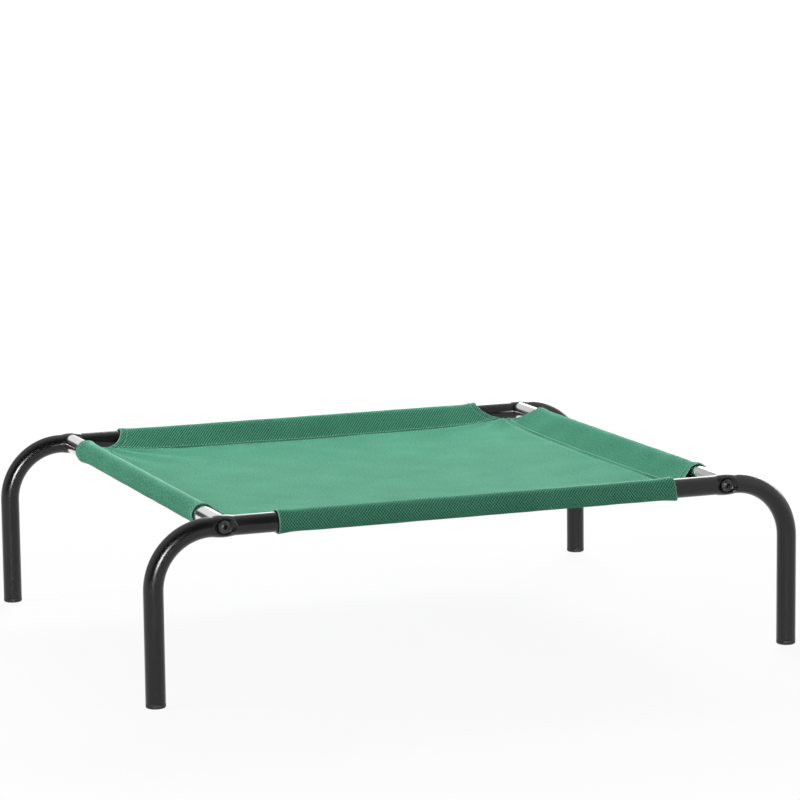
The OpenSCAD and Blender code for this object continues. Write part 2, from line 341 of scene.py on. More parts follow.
# Edges of the painted highlight on the hem's ridge and of the painted shade in its stitched groove, with
# the most of each
FOLD_EDGE, FOLD_HIGHLIGHT = (0.0002, 0.0009), 0.6
GROOVE_EDGE, GROOVE_SHADE = (0.0005, 0.0013), 0.55
# The painted shade of the groove ends within this distance of the front seam
GROOVE_BLEND = 0.002


def weave_loops(tree, across, down):
    """Loops of the mesh over the flat pattern, in staggered rows, leaning except on the front sleeve."""
    lean = tree.span(down, around(-SEAM_Y, SEAM_BLEND), LEAN)
    turn = tree.math("MULTIPLY", across, 2 * math.pi / LOOP_WIDE)
    row = tree.math("MULTIPLY", down, 2 * math.pi / LOOP_DEEP)
    leant = tree.math("COSINE", tree.math("SUBTRACT", turn, row))
    crossed = tree.math("COSINE", tree.math("ADD", turn, row))
    upright = tree.math("SUBTRACT", 1.0, lean)
    return tree.math("ADD", tree.math("MULTIPLY", leant, lean), tree.math("MULTIPLY", crossed, upright))


def loop_depth(tree, flat, across, down):
    """How strongly the loops show, which is patchy all over."""
    long_depth = tree.span(
        tree.math("ABSOLUTE", down), around(SEAM_Y, SEAM_BLEND), (PANEL_DEPTH, LONG_DEPTH)
    )
    left_depth = tree.span(across, around(-SEAM_X, SEAM_BLEND), (LEFT_DEPTH, PANEL_DEPTH))
    patchy = tree.noise(flat, scale=120.0, detail=2.0)
    depth = tree.math("MAXIMUM", long_depth, left_depth)
    return tree.math("MULTIPLY", depth, tree.vary(patchy, 0.45, 1.25))


def fabric_tone(tree, flat, across, shown):
    """From 0 in the shade between loops to 1 on their crests, with uneven dye."""
    broad = tree.noise(flat, scale=16.0, detail=4.0)
    fine = tree.noise(flat, scale=520.0, detail=2.0)
    coarse = tree.noise(flat, scale=360.0, detail=2.0)
    blotch_share = tree.span(across, [-SEAM_X - out for out in BLOTCH_OUT], BLOTCH_SHARE)
    tone = tree.span(shown, LOOP_RANGE, TONE_RANGE)
    for dye in (
        tree.vary(broad, -BROAD_TONE, BROAD_TONE),
        tree.vary(fine, -FINE_TONE, FINE_TONE),
        tree.math("MULTIPLY", tree.span(coarse, BLOTCH_RANGE, (-1.0, 1.0)), blotch_share),
    ):
        tone = tree.math("ADD", tone, dye)
    return tone


def stitch_holes(tree, along, out, seam):
    """Dimples where thread enters the sheet, in two rows along a seam and its opposite."""
    away = tree.math("ABSOLUTE", out)
    gaps = [tree.gap(away, seam - row) for row in SEAM_ROWS]
    near = tree.span(tree.math("MINIMUM", *gaps), HOLE_ROW, (1.0, 0.0))
    beat = tree.math("COSINE", tree.math("MULTIPLY", along, 2 * math.pi / STITCH_PITCH))
    return tree.math("MULTIPLY", near, tree.span(beat, HOLE_BEAT, (1.0, 0.0)))


def all_holes(tree, across, down):
    """Holes of all the seams: plain on the long ones, faint on the right one and none on the left one."""
    long_holes = stitch_holes(tree, across, down, SEAM_Y)
    short_holes = stitch_holes(tree, down, across, SEAM_X)
    short_share = tree.span(across, SHORT_FADE, SHORT_SHARE)
    return tree.math("MAXIMUM", long_holes, tree.math("MULTIPLY", short_holes, short_share))


def woven_fabric():
    """Green mesh over the flat pattern, with painted shade in its stitch holes and stitched groove, and
    painted highlights on its ridges.
    """
    made, tree, shader = new_material(
        "woven_fabric", Sheen_Weight=0.015, Sheen_Roughness=0.4, Specular_IOR_Level=0.03
    )
    flat = tree.add("ShaderNodeUVMap", uv_map="flat").outputs[0]
    across, down, _ = tree.split(flat)
    to_mouth = tree.mark("to_mouth")
    # Painted highlight along the ridge of each turned hem
    fold = tree.span(tree.gap(to_mouth, FOLD_IN), FOLD_EDGE, (FOLD_HIGHLIGHT, 0.0))
    # Painted highlight on the crests of two sleeves and on the hem folds
    painted_highlight = tree.math("MAXIMUM", tree.mark("wear"), fold)
    groove = tree.span(tree.gap(to_mouth, HEM_STITCH_IN), GROOVE_EDGE, (GROOVE_SHADE, 0.0))
    groove = tree.math("MULTIPLY", groove, tree.span(down, around(-SEAM_Y, GROOVE_BLEND)))
    holes = all_holes(tree, across, down)
    loops = weave_loops(tree, across, down)
    shown = tree.math("MULTIPLY", loops, loop_depth(tree, flat, across, down))
    woven = tree.blend(fabric_tone(tree, flat, across, shown), FABRIC_SHADE, FABRIC_CREST)
    highlighted = tree.blend(painted_highlight, woven, FABRIC_HIGHLIGHT)
    # Painted shade in the stitch holes and in the hem's stitched groove
    painted_shade = tree.math("MAXIMUM", tree.math("MULTIPLY", holes, HOLE_SHADE), groove)
    tree.feed(shader["Base Color"], tree.blend(painted_shade, highlighted, FABRIC_PAINTED_SHADE))
    tree.feed(shader["Roughness"], tree.span(loops, (-1.0, 1.0), (0.78, 0.56)))
    height = tree.math("SUBTRACT", loops, tree.math("MULTIPLY", holes, HOLE_DEPTH))
    tree.feed(shader["Normal"], tree.bump(height, strength=0.6, distance=0.00025))
    return made


def sewing_thread():
    made, tree, shader = new_material("sewing_thread", Roughness=0.6, Sheen_Weight=0.1)
    twist = tree.noise(tree.place(), scale=1500.0, detail=2.0)
    tree.feed(shader["Base Color"], tree.blend(twist, THREAD_SHADE, THREAD_CREST))
    tree.feed(shader["Normal"], tree.bump(twist, strength=0.4, distance=0.0001))
    return made


# Studio

# Surroundings as mirrors show them, by direction: bright overhead and to the right, and never black
OVERHEAD_EDGE, OVERHEAD_LEVEL = (-0.55, 0.2), 0.9
RIGHT_EDGE, RIGHT_LEVEL = (0.345, 0.42), 1.2
LEAST_LEVEL = 0.1
# Panels in front of that: soft edges along an axis, closed and open, and the share of light let through
DARK_PANELS = (
    (((X, -0.16, -0.21), (X, -0.42, -0.38), (Y, 0.5, 0.7), (Z, 0.29, 0.25)), 0.08),
    (((X, 0.27, 0.20), (Y, 0.6, 0.7), (Y, 0.915, 0.895)), 0.60),
    (((X, 0.45, 0.50), (Y, 0.25, 0.40)), 0.04),
)
# Bright strip at the right rear
STRIP_EDGES = ((X, 0.28, 0.30), (Y, 0.3, 0.4), (Z, 0.12, 0.2), (Z, 0.66, 0.58))
STRIP_LEVEL = 7.0
# Small bright panel beside the camera: its direction from the cot, and its edge as a cosine
SPOT_WAY, SPOT_EDGE, SPOT_LEVEL = (-0.33, -0.924, 0.19), (0.984, 0.994), 45.0
# Level of the surroundings for everything but the camera and mirrors
AMBIENT = 0.33

# Lamps: name, place, width and height, and power in watts
LAMPS = (
    ("rear_softbox", (1.17, 2.10, 1.98), (1.5, 0.6), 72.0),
    ("left_softbox", (-2.25, 0.26, 1.00), (0.4, 0.4), 13.0),
)
LAMP_AIM = (0.0, 0.0, 0.18)

FLOOR_REACH = 40.0
FLOOR_GREY = 0.6
# White that direct rays see on the floor, and its share from near the cot, where the shadow lies, outward
FLOOR_WHITE = 1.05
FLOOR_FADE, FLOOR_SHARE = (0.7, 1.6), (0.88, 1.0)


def seen_directly(tree):
    """Two values: one is 1 for camera rays, the other for mirror and glass rays."""
    ways = tree.add("ShaderNodeLightPath").outputs
    mirrored = tree.math("MAXIMUM", ways["Is Glossy Ray"], ways["Is Transmission Ray"])
    return ways["Is Camera Ray"], mirrored


def gate(tree, ways, edges):
    """Product of soft steps from 0 to 1, each between two values along one axis of the direction."""
    level = 1.0
    for axis, closed, opened in edges:
        level = tree.math("MULTIPLY", tree.span(ways[axis], (closed, opened)), level)
    return level


def make_world():
    """White to the camera, panels of light and dark in mirrors, and one plain level for the rest."""
    world = bpy.data.worlds.new("studio")
    scene.world = world
    world.use_nodes = True
    tree = Tree(world.node_tree)
    seen, mirrored = seen_directly(tree)
    direction = tree.add("ShaderNodeTexCoord").outputs["Generated"]
    ways = tree.split(direction)
    overhead = tree.span(ways[Y], OVERHEAD_EDGE, (0.0, OVERHEAD_LEVEL))
    right = tree.span(ways[X], RIGHT_EDGE, (0.0, RIGHT_LEVEL))
    backdrop = tree.math("ADD", tree.math("MAXIMUM", overhead, right), LEAST_LEVEL)
    for edges, level in DARK_PANELS:
        share = tree.span(gate(tree, ways, edges), (0.0, 1.0), (1.0, level))
        backdrop = tree.math("MULTIPLY", backdrop, share)
    strip = tree.math("MULTIPLY", gate(tree, ways, STRIP_EDGES), STRIP_LEVEL)
    facing = tree.add("ShaderNodeVectorMath", {0: direction, 1: SPOT_WAY}, operation="DOT_PRODUCT")
    spot = tree.span(facing.outputs["Value"], SPOT_EDGE, (0.0, SPOT_LEVEL))
    for bright in (strip, spot):
        backdrop = tree.math("MAXIMUM", backdrop, bright)
    ambient = tree.math("MULTIPLY", tree.math("SUBTRACT", 1.0, mirrored), AMBIENT)
    unseen = tree.math("ADD", tree.math("MULTIPLY", mirrored, backdrop), ambient)
    background = world.node_tree.nodes["Background"].inputs
    tree.feed(background["Strength"], tree.math("MAXIMUM", seen, unseen))
    background["Color"].default_value = grey(1.0)


def make_lamps():
    for name, at, size, watts in LAMPS:
        data = bpy.data.lights.new(name, "AREA")
        data.shape = "RECTANGLE"
        data.size, data.size_y = size
        data.energy = watts
        lamp = bpy.data.objects.new(name, data)
        lamp.location = at
        lamp.visible_glossy = False
        lamp.rotation_euler = (Vector(LAMP_AIM) - Vector(at)).to_track_quat("-Z", "Y").to_euler()
        scene.collection.objects.link(lamp)


def pale_floor():
    """Grey that takes the shadow, mostly covered by white for rays that see it directly."""
    made = bpy.data.materials.new("pale_floor")
    made.use_nodes = True
    made.node_tree.nodes.clear()
    tree = Tree(made.node_tree)
    seen = tree.math("MAXIMUM", *seen_directly(tree))
    place = tree.add("ShaderNodeTexCoord").outputs["Object"]
    away = tree.add("ShaderNodeVectorMath", {0: place}, operation="LENGTH").outputs["Value"]
    share = tree.math("MULTIPLY", seen, tree.span(away, FLOOR_FADE, FLOOR_SHARE))
    painted = tree.add("ShaderNodeBsdfDiffuse", {"Color": grey(FLOOR_GREY)}).outputs[0]
    white = tree.add("ShaderNodeEmission", {"Color": grey(1.0), "Strength": FLOOR_WHITE}).outputs[0]
    surface = tree.add("ShaderNodeMixShader", {0: share, 1: painted, 2: white}).outputs[0]
    tree.add("ShaderNodeOutputMaterial", {"Surface": surface})
    return made


def make_floor():
    low, high = around(0.0, FLOOR_REACH)
    mesh = bpy.data.meshes.new("floor")
    corners = [(low, low, 0), (high, low, 0), (high, high, 0), (low, high, 0)]
    mesh.from_pydata(corners, [], [(0, 1, 2, 3)])
    mesh.materials.append(pale_floor())
    floor = bpy.data.objects.new("floor", mesh)
    scene.collection.objects.link(floor)


# Sheet

# Grid of the panel: steps across a cut corner, in from a mouth, and elsewhere
CORNER_STEPS = (0, 0.25, 0.5, 0.75, 1)
CORNER_CELLS = len(CORNER_STEPS) - 1
MOUTH_STEPS = (0, 0.0012, 0.0030, 0.0055, 0.0085, 0.0120, 0.0160)
CELL = 0.0042
# Section of a sleeve: steps up the flank, round the tube, back to the seam, and under the panel
FLANK_STEPS = (0, 0.03, 0.08, 0.16, 0.28, 0.42, 0.56, 0.70, 0.85)
ARC_POINTS = 25
LOWER_STEPS = tuple(np.linspace(0, 1, 10)[1:])
TURN_STEPS = (0.15, 0.4, 0.7, 1)
# First point of the section that lies under the sleeve, and the last that counts as its upper face
UNDERSIDE = len(FLANK_STEPS) + ARC_POINTS
UPPER_END = len(FLANK_STEPS) + 3
# The sheet hangs by this much on its way back to the seam
LOWER_SLACK = 0.0006

# The mouths of the sleeves move only this last stretch of the grid
MOUTH_REACH = 0.07
# A mouth stands open by this much, over this distance
MOUTH_FLARE, FLARE_REACH = 0.0013, 0.011
# The cut from the corner to the mouth is straight on two sides and curved on these
CURVED_CUTS = ("right", "rear")
# Under the sleeve it reaches only this share of the way to the corner
UNDER_CUT = 0.4
# Some mouths are sewn askew by this much over the tube, which fades out before the tube's underside
ASKEW = {("front", 1): -0.0052, ("front", -1): 0.0012, ("left", -1): -0.001}
ASKEW_END, ASKEW_FADE = 0.88, 3.2

# Painted highlight along the crests of two sleeves: place and half width in shares of the way round the
# tube
LIT_CRESTS = {"front": (0.15, 0.07), "left": (0.07, 0.09)}
CREST_HIGHLIGHT = 0.6
# The front crest's painted highlight runs only from the middle to this far right
HIGHLIGHT_FROM, HIGHLIGHT_TO = 0.0, 0.14

# Unevenness of the panel as height, waves per metre and cut through the noise, and that of the sleeves
PANEL_RELIEF = ((0.0011, 8, 3.1), (0.0004, 26, 7.7))
STRIP_RELIEF, STRIP_WAVES, STRIP_CUT = 0.00035, 34, 3.0
# Puckers along the seams, with how far they wander
PUCKER_HEIGHT, PUCKER_PITCH, PUCKER_REACH = 0.00030, 0.0094, 0.009
PUCKER_WANDER, PUCKER_WAVES, PUCKER_CUT = 4, 30, 1.3
# Tension lines that fan out from a point past each corner, strongest at some distance from it
FAN_PAST_X, FAN_PAST_Y = 0.012, 0.010
FAN_HEIGHT, FAN_LINES, FAN_AT, FAN_REACH = 0.0011, 11, 0.07, 0.055
FAN_WANDER, FAN_WAVES, FAN_CUT = 1.7, 9, 5.5
# Ripples round the mouths
RIPPLE_HEIGHT, RIPPLE_PITCH, RIPPLE_REACH = 0.00022, 0.013, 0.02
# The relief of a sleeve stops this far before the part that is turned under
TUCK_MARGIN = 0.002


def grid_lines(seam):
    """Grid lines from one seam to the other, close together at both ends."""
    end = seam - CORNER_LEG
    count = round(2 * (end - MOUTH_STEPS[-1]) / CELL)
    middle = list(np.linspace(-end + MOUTH_STEPS[-1], end - MOUTH_STEPS[-1], count + 1))
    corner = [-seam + CORNER_LEG * step for step in CORNER_STEPS[:-1]]
    low = corner + [-end + step for step in MOUTH_STEPS[:-1]]
    return low + middle + [-value for value in reversed(low)]


def inward(lines, steps, sign):
    """Index of the grid line that lies some steps in from the low or the high end."""
    return steps if sign < 0 else len(lines) - 1 - steps


def on_tube(angle):
    return SLEEVE_R * np.array((math.cos(angle), math.sin(angle)))


def sleeve_path():
    """Section of a sleeve from the panel over the tube and back under it.

    Gives the inboard and up offsets from the tube axis, the share of the way up the flank,
    and how far round the outside each point lies, from 0 at the top to 1 underneath.
    """
    lean = math.atan2(-SEAM_DROP, SEAM_IN)
    spread = math.acos(SLEEVE_R / math.hypot(SEAM_IN, SEAM_DROP))
    first, last = lean + spread, lean - spread + 2 * math.pi
    top, under = on_tube(first), on_tube(last)
    seam = np.array((SEAM_IN, -SEAM_DROP))
    seam_below = seam - (0, LAYER_GAP)
    rows = [(seam + (top - seam) * t, t, 0.0) for t in FLANK_STEPS]
    for turn in np.linspace(0, 1, ARC_POINTS):
        rows.append((on_tube(first + (last - first) * turn), 1.0, turn))
    for t in LOWER_STEPS:
        slack = np.array((0, -LOWER_SLACK * math.sin(math.pi * t)))
        rows.append((under + (seam_below - under) * t + slack, 1 - t, 1.0))
    for t in TURN_STEPS:
        rows.append((seam_below + np.array((TURN_UNDER * t, 0)), 0.0, 1.0))
    points, shares, rounds = zip(*rows)
    return np.array(points), shares, rounds


def lengths_along(points):
    """Distance of each point from the first, along the points."""
    steps = np.linalg.norm(np.diff(points, axis=0), axis=1)
    return np.concatenate(([0], np.cumsum(steps)))


def unit_rows(vectors):
    return vectors / np.linalg.norm(vectors, axis=1)[:, None]


def sag_at(x, y):
    """Drop of the sheet below the corners of its seams, also past the seams."""
    along = 1 - min(1.0, abs(x) / SEAM_X) ** 2
    deep = 1 - min(1.0, abs(y) / SEAM_Y) ** 2
    return BOW_LONG * along + BOW_SHORT * deep + (SAG - BOW_LONG - BOW_SHORT) * along * deep


def lift_at(x, y):
    """Lift of the panel near a corner, also past the seams."""
    away = math.hypot(max(0.0, SEAM_X - abs(x)), max(0.0, SEAM_Y - abs(y)))
    return CORNER_LIFT * math.exp(-((away / LIFT_REACH) ** 2))


def uneven(a, b, waves, cut):
    return noise.noise(Vector((a * waves, b * waves, cut)))


def pucker(along, gap):
    """Small waves along a seam, which die out away from it."""
    phase = PUCKER_WANDER * noise.noise(Vector((along * PUCKER_WAVES, gap, PUCKER_CUT)))
    wave = math.sin(along * 2 * math.pi / PUCKER_PITCH + phase)
    return PUCKER_HEIGHT * math.exp(-gap / PUCKER_REACH) * wave


def tension_lines(x, y):
    """Lines that fan out over the panel from each corner."""
    away_x, away_y = SEAM_X + FAN_PAST_X - abs(x), SEAM_Y + FAN_PAST_Y - abs(y)
    angle = math.atan2(away_y, away_x) - 0.25 * math.pi
    fan = math.cos(FAN_LINES * angle + FAN_WANDER * uneven(x, y, FAN_WAVES, FAN_CUT))
    return FAN_HEIGHT * fan * math.exp(-((math.hypot(away_x, away_y) - FAN_AT) / FAN_REACH) ** 2)


def ripple(x, y):
    """Small relief of the panel: broad unevenness, puckers at the seams, tension lines at the corners."""
    relief = sum(height * uneven(x, y, waves, cut) for height, waves, cut in PANEL_RELIEF)
    for along, gap in ((y, SEAM_X - abs(x)), (x, SEAM_Y - abs(y))):
        relief += pucker(along, gap)
    return relief + tension_lines(x, y)


class Sheet:
    """Grid of the panel with a strip on each side, which wraps a tube and ends under the panel."""

    def __init__(self):
        self.points, self.flats, self.relief, self.faces = [], [], [], []
        self.wear, self.to_mouth = [], []
        self.xs = grid_lines(SEAM_X)
        self.ys = grid_lines(SEAM_Y)
        self.path, self.shares, self.rounds = sleeve_path()
        self.travel = lengths_along(self.path)
        self.panel = {}
        self.strips = {}
        self.add_panel()
        for side in SIDES:
            self.add_strip(side)
        self.settle()

    def add(self, point, flat, relief, to_mouth, wear=0.0):
        self.points.append(point)
        self.flats.append(flat)
        self.relief.append(relief)
        self.to_mouth.append(to_mouth)
        self.wear.append(wear)
        return len(self.points) - 1

    def cut_off(self, i, j):
        near_x = min(i, len(self.xs) - 1 - i)
        near_y = min(j, len(self.ys) - 1 - j)
        return near_x + near_y < CORNER_CELLS

    def add_panel(self):
        for j, y in enumerate(self.ys):
            for i, x in enumerate(self.xs):
                if not self.cut_off(i, j):
                    height = RAIL_Z - SEAM_DROP - sag_at(x, y) + lift_at(x, y)
                    to_corner = (SEAM_X + SEAM_Y - abs(x) - abs(y) - CORNER_LEG) * math.sqrt(0.5)
                    self.panel[i, j] = self.add((x, y, height), (x, y), ripple(x, y), to_corner)
        for j in range(len(self.ys) - 1):
            for i in range(len(self.xs) - 1):
                ring = [(i, j), (i + 1, j), (i + 1, j + 1), (i, j + 1)]
                kept = [self.panel[c] for c in ring if c in self.panel]
                if len(kept) > 2:
                    self.faces.append(kept)

    def add_strip(self, side):
        lines, others = (self.xs, self.ys) if side.long else (self.ys, self.xs)
        edge = inward(others, 0, side.sign)
        rows = {}
        for n in range(CORNER_CELLS, len(lines) - CORNER_CELLS):
            rows[n, 0] = self.panel[in_plan(side, n, edge)]
            for k in range(1, len(self.path)):
                rows[n, k] = self.add_strip_point(side, lines[n], k)
        self.strips[side.name] = rows
        flip = (side.sign < 0) == side.long
        for n, k in rows:
            ring = [(n, k), (n + 1, k), (n + 1, k + 1), (n, k + 1)]
            if all(c in rows for c in ring):
                face = [rows[c] for c in ring]
                self.faces.append(face[::-1] if flip else face)

    def mouth(self, side, end, k):
        """Distance from the middle of a sleeve to its mouth at one place round the section."""
        down = 1 - self.shares[k]
        slant = 0.5 * (down + down ** 3) if side.name in CURVED_CUTS else down
        if k >= UNDERSIDE:
            slant = UNDER_CUT * down ** 2
        over = self.shares[k] * clamp(ASKEW_FADE * (ASKEW_END - self.rounds[k]))
        askew = ASKEW.get((side.name, end), 0.0)
        return side.half + (side.reach - CORNER_LEG - side.half) * slant + askew * over

    def stretched(self, side, along, k):
        """Place along a sleeve once its grid reaches from mouth to mouth, and the gap to the mouth."""
        mouth = self.mouth(side, math.copysign(1, along), k)
        end = side.reach - CORNER_LEG
        still = end - MOUTH_REACH
        if abs(along) > still:
            moved = still + (abs(along) - still) * (mouth - still) / (end - still)
            along = math.copysign(moved, along)
        return along, mouth - abs(along)

    def add_strip_point(self, side, along, k):
        along, gap = self.stretched(side, along, k)
        share, travel = self.shares[k], self.travel[k]
        inboard, up = self.path[k]
        flare = MOUTH_FLARE * math.exp(-((gap / FLARE_REACH) ** 2)) * share ** 2
        away = math.hypot(inboard, up)
        inboard += flare * inboard / away
        up += flare * up / away
        x, y = in_plan(side, along, side.sign * (side.axis - inboard))
        shift = lift_at(x, y) - sag_at(x, y)
        if k >= UNDERSIDE:
            shift += ripple(max(-SEAM_X, min(SEAM_X, x)), max(-SEAM_Y, min(SEAM_Y, y)))
        height = RAIL_Z + up + shift * (1 - share)
        tucked = self.travel[-1] - travel < TURN_UNDER + TUCK_MARGIN
        relief = 0.0 if tucked else self.strip_relief(side, along, travel, gap)
        flat = in_plan(side, along, side.sign * (side.seam + travel))
        return self.add((x, y, height), flat, relief, gap, self.crest_highlight(side, along, k))

    # Painted highlight along the crest of a sleeve, carried in the highlight mark
    def crest_highlight(self, side, along, k):
        if side.name not in LIT_CRESTS or self.shares[k] < 1:
            return 0.0
        place, width = LIT_CRESTS[side.name]
        share = 1.0
        if side.name == "front":
            share = clamp((along - HIGHLIGHT_FROM) / (HIGHLIGHT_TO - HIGHLIGHT_FROM))
        return CREST_HIGHLIGHT * share * math.exp(-(((self.rounds[k] - place) / width) ** 2))

    def strip_relief(self, side, along, travel, gap):
        """Small relief of a sleeve: unevenness, puckers at the seam, ripples round the mouth."""
        relief = STRIP_RELIEF * uneven(along, travel, STRIP_WAVES, side.sign * STRIP_CUT + side.long)
        relief += pucker(along, travel)
        wave = math.sin(travel * 2 * math.pi / RIPPLE_PITCH + side.sign)
        return relief + RIPPLE_HEIGHT * math.exp(-gap / RIPPLE_REACH) * wave

    def settle(self):
        """Moves every point by its relief, along the normal of the smooth sheet."""
        self.points = np.array(self.points)
        self.normals = self.find_normals()
        self.points += self.normals * np.array(self.relief)[:, None]
        self.normals = self.find_normals()

    def find_normals(self):
        total = np.zeros_like(self.points)
        for face in self.faces:
            a, b, c = self.points[face[0]], self.points[face[1]], self.points[face[-1]]
            total[face] += np.cross(b - a, c - a)
        return unit_rows(total)

    def upper_faces(self):
        """Faces of the panel and of the upper flanks, without what lies under them."""
        upper = set(self.panel.values())
        for rows in self.strips.values():
            upper.update(vertex for (_, k), vertex in rows.items() if k <= UPPER_END)
        return [face for face in self.faces if upper.issuperset(face)]

    def flat_area(self):
        area = 4 * SEAM_X * SEAM_Y - 2 * CORNER_LEG ** 2
        for side in SIDES:
            ends = [self.mouth(side, -1, k) + self.mouth(side, 1, k) for k in range(len(self.path))]
            area += sum(0.5 * (a + b) * s for a, b, s in zip(ends, ends[1:], np.diff(self.travel)))
        return area

    def corner_edge(self, sign_x, sign_y):
        """Vertices along one cut corner, from the end of one sleeve to the end of the other."""
        i = inward(self.xs, CORNER_CELLS, sign_x)
        j = inward(self.ys, CORNER_CELLS, sign_y)
        long_rows = self.strips["front" if sign_y < 0 else "rear"]
        short_rows = self.strips["left" if sign_x < 0 else "right"]
        rows = range(len(self.path))
        edge = [long_rows[i, k] for k in reversed(rows)]
        for step in range(1, CORNER_CELLS):
            near_x = inward(self.xs, CORNER_CELLS - step, sign_x)
            near_y = inward(self.ys, step, sign_y)
            edge.append(self.panel[near_x, near_y])
        return edge + [short_rows[j, k] for k in rows]


def new_piece(name, points, faces, material):
    mesh = bpy.data.meshes.new(name)
    mesh.from_pydata([tuple(p) for p in points], [], [tuple(f) for f in faces])
    mesh.materials.append(material)
    mesh.shade_smooth()
    piece = bpy.data.objects.new(name, mesh)
    scene.collection.objects.link(piece)
    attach(piece, "root")
    return piece


def write_flats(piece, flats, **marks):
    """Stores the place of each point in the flat pattern, and marks that the fabric's material reads."""
    layer = piece.data.uv_layers.new(name="flat")
    corners = np.zeros(len(piece.data.loops), np.int32)
    piece.data.loops.foreach_get("vertex_index", corners)
    layer.data.foreach_set("uv", np.asarray(flats, np.float32)[corners].ravel())
    for name, values in marks.items():
        mark = piece.data.attributes.new(name, "FLOAT", "POINT")
        mark.data.foreach_set("value", np.asarray(values, np.float32))


def make_sheet(sheet, material):
    piece = new_piece("bed_sheet", sheet.points, sheet.faces, material)
    write_flats(piece, sheet.flats, wear=sheet.wear, to_mouth=sheet.to_mouth)
    shell = piece.modifiers.new("thickness", "SOLIDIFY")
    shell.thickness = SHEET_T
    shell.offset = 0.0
    return piece


# Hems

# Closed section of a turned hem: outward from the edge, along the outer normal, and painted highlight
HEM_SECTION = (
    (-0.0090, -0.00048, 0.0),
    (-0.0090, -0.00125, 0.0),
    (-0.0045, -0.00128, 0.0),
    (-0.0004, -0.00130, 0.0),
    (0.0004, -0.00110, 0.2),
    (0.0009, -0.00055, 0.8),
    (0.0010, 0.00005, 1.0),
    (0.0006, 0.00052, 0.9),
    (-0.0001, 0.00070, 0.3),
    (-0.0009, 0.00062, 0.0),
    (-0.0015, 0.00040, 0.0),
    (-0.0045, -0.00045, 0.0),
)
# Points of the section further in than this follow the sheet, up to so many rings from the hem's middle
HEM_LAP, HEM_FOLLOWS = 0.002, CORNER_CELLS + len(FLANK_STEPS)
# Points of a corner edge, at both ends, that lie under the panel and get no hem
HEM_SKIP = len(TURN_STEPS) + 2
# The same for its stitches, which also end before the seam
HEM_STITCH_SKIP = len(TURN_STEPS) + len(LOWER_STEPS) // 2
# Mark of the hem's own points, far from any mouth
NO_MOUTH = 1.0


def edge_frames(sheet, edge, corner):
    """Points, outward directions and normals along one cut corner."""
    points = sheet.points[edge]
    normals = sheet.normals[edge]
    ahead = np.gradient(points, axis=0)
    outward = unit_rows(np.cross(ahead, normals))
    middle = len(edge) // 2
    if outward[middle] @ np.array((*corner, 0.0)) < 0:
        outward = -outward
    return points, outward, normals


def snap(tree, place, normal):
    """Nearest point of the sheet, with its normal turned to the given side."""
    near, facing, _, _ = tree.find_nearest(Vector(place))
    facing = np.array(facing)
    return np.array(near), facing if facing @ normal > 0 else -facing


def tube_faces(rings, size):
    """Faces of a closed tube of rings with the same number of points, with a cap at each end."""
    faces = []
    for k in range(rings - 1):
        low, high = k * size, (k + 1) * size
        for n in range(size):
            m = (n + 1) % size
            faces.append((low + n, low + m, high + m, high + n))
    faces.append(tuple(reversed(range(size))))
    faces.append(tuple(range((rings - 1) * size, rings * size)))
    return faces


def make_hem(name, sheet, edge, corner, upper_tree, material):
    points, outward, normals = edge_frames(sheet, edge, corner)
    middle = len(edge) // 2
    rings, flats, wear = [], [], []
    for n, (point, out, normal, vertex) in enumerate(zip(points, outward, normals, edge)):
        flat = np.array(sheet.flats[vertex])
        for aside, lift, painted_highlight in HEM_SECTION:
            place, facing = point + out * aside, normal
            if aside < -HEM_LAP and abs(n - middle) < HEM_FOLLOWS:
                place, facing = snap(upper_tree, place, normal)
            rings.append(place + facing * lift)
            flats.append(flat + out[:2] * aside)
            wear.append(painted_highlight)
    faces = tube_faces(len(edge), len(HEM_SECTION))
    # Two of the corners are mirrored, so their faces are turned to look outward again
    if corner[X] * corner[Y] < 0:
        faces = [face[::-1] for face in faces]
    piece = new_piece(name, rings, faces, material)
    write_flats(piece, flats, wear=wear, to_mouth=[NO_MOUTH] * len(wear))
    return piece


# Stitches

# One stitch: its length, radius, height as a share of its width, and sides of its section
STITCH_LEN, STITCH_R, STITCH_FLAT, STITCH_SIDES = 0.0033, 0.00062, 0.55, 6
# Height of a stitch's arch, and how far its ends sink in
STITCH_RISE, STITCH_SINK = 0.00022, 0.00008
# Places along one stitch from end to end, with the thread's thickness there
STITCH_RINGS = ((-1.0, 0.35), (-0.82, 0.85), (-0.4, 1.0), (0.4, 1.0), (0.82, 0.85), (1.0, 0.35))
# Room before the first and after the last stitch of a row, in pitches
ROOM_BEFORE, ROOM_AFTER = 0.5, 0.3
# A stitch points to the place this far ahead on its row
LOOK_AHEAD = 0.0008
# Height of the hem stitches over the middle of the sheet where they sink into the front sleeve
SUNK_STITCH = -0.0003
# Seam rows end this far before the corner, and are found at this many places
SEAM_END, RUN_POINTS = 0.012, 260
# Heights above and below the sheet that rays start from
CAST_ABOVE, CAST_BELOW = 0.25, 0.10


def stitch_template():
    """One arched stitch along its first axis, rising along its third."""
    points = []
    for t, thickness in STITCH_RINGS:
        rise = STITCH_RISE * (1 - t * t) - STITCH_SINK
        ring = STITCH_R * thickness
        for n in range(STITCH_SIDES):
            turn = 2 * math.pi * n / STITCH_SIDES
            high = rise + STITCH_FLAT * ring * math.sin(turn)
            points.append((0.5 * STITCH_LEN * t, ring * math.cos(turn), high))
    return np.array(points), tube_faces(len(STITCH_RINGS), STITCH_SIDES)


def at_length(stop, travel, vectors):
    """Vector at one distance along a row of points."""
    return np.array([np.interp(stop, travel, vectors[:, axis]) for axis in (X, Y, Z)])


